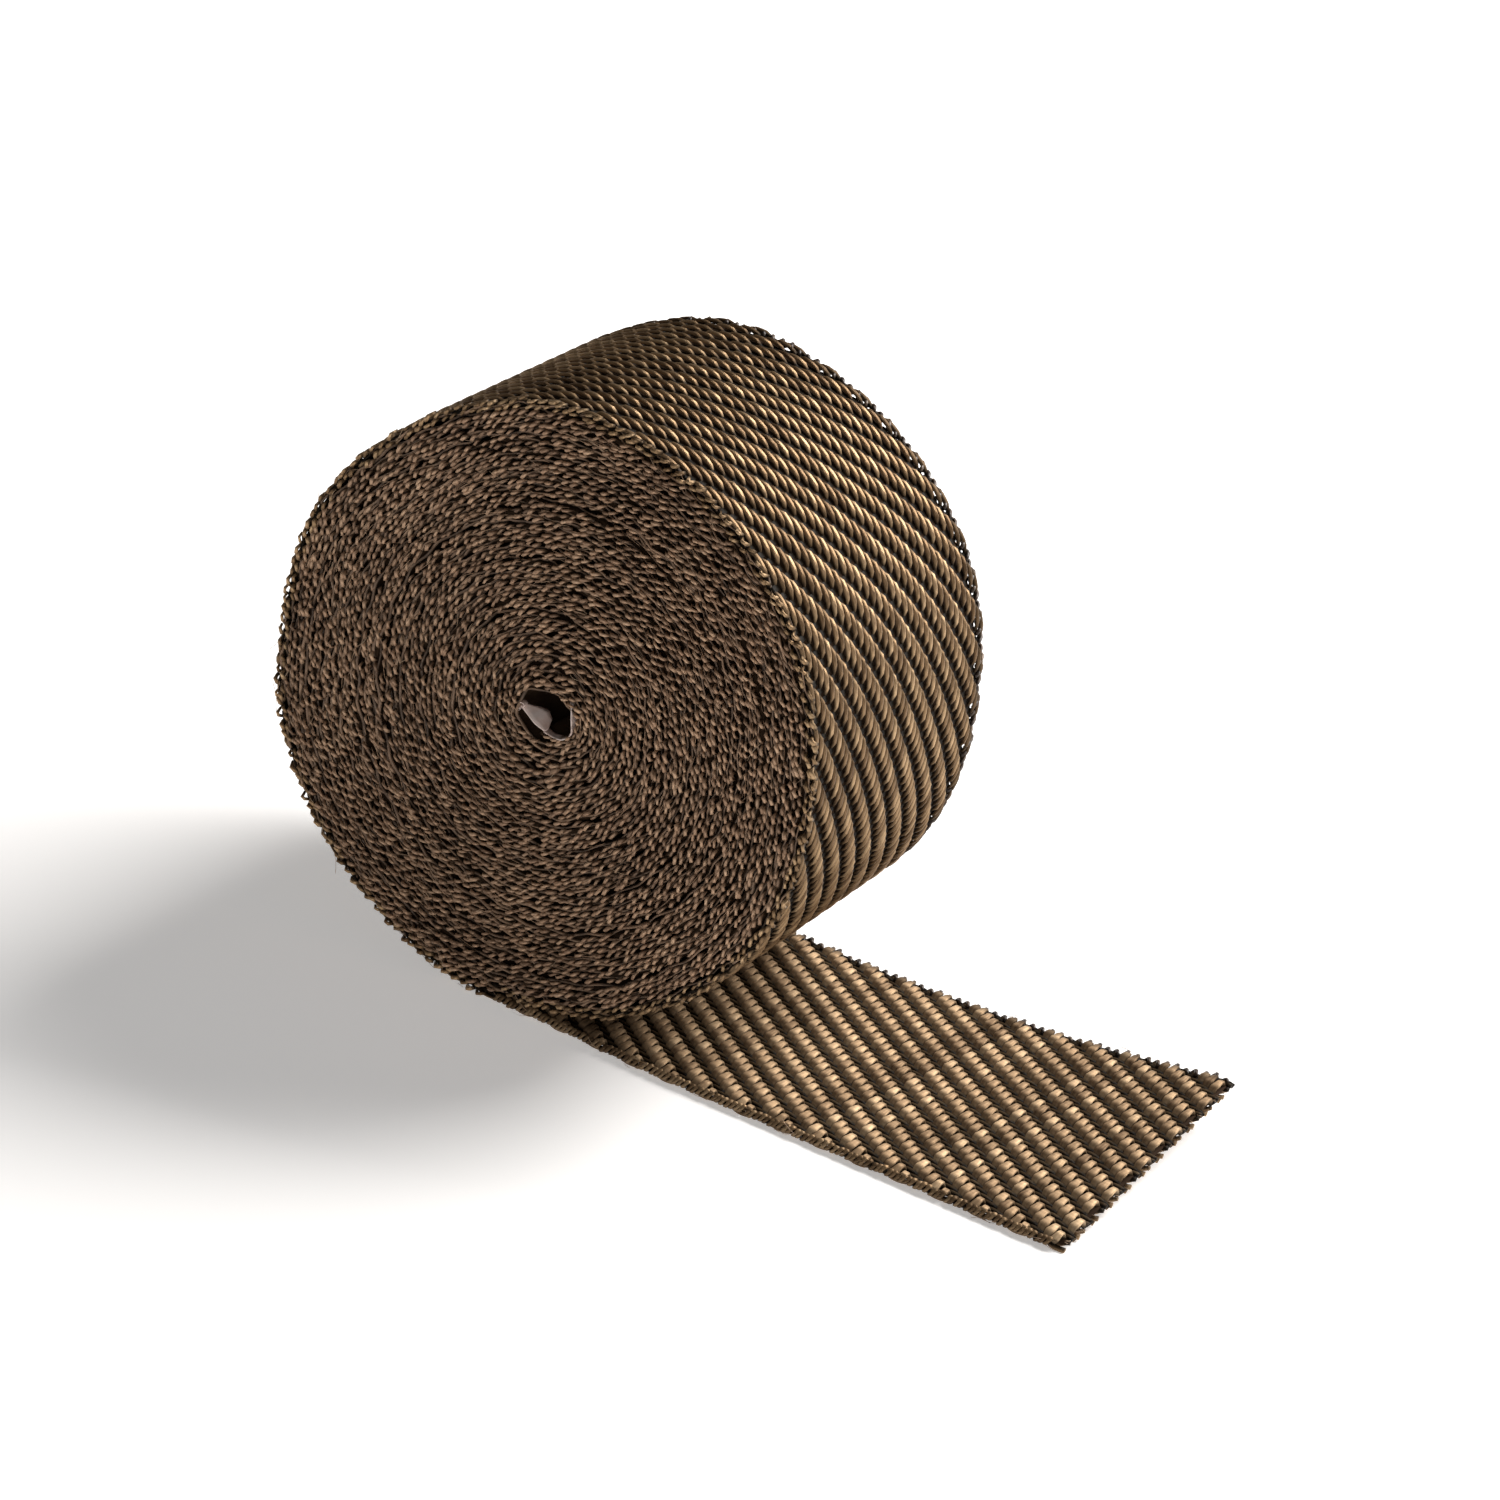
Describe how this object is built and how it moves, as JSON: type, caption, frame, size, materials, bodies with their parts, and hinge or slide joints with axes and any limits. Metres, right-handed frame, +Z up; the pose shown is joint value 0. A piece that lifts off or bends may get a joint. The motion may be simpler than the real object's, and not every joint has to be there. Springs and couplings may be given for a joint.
{
  "type": "roll of exhaust heat wrap tape",
  "caption": "Roll of woven brown basalt-fibre heat wrap tape lying on its side, with the tape's free end run out flat on the floor.",
  "frame": {"origin": "centre of the bounding box at floor level", "axes": "+X along the run-out tape, away from the roll; +Y along the roll's axis; +Z up"},
  "size_m": [0.1322, 0.0512, 0.0851],
  "materials": {
    "basalt_cloth": "coarse twill of untwisted mineral yarn with a dull golden sheen",
    "clear_film": "thin clear film, slightly creased"
  },
  "bodies": {
    "root": {"wrap_tape": "basalt_cloth", "core_film": "clear_film"}
  },
  "joints": []
}
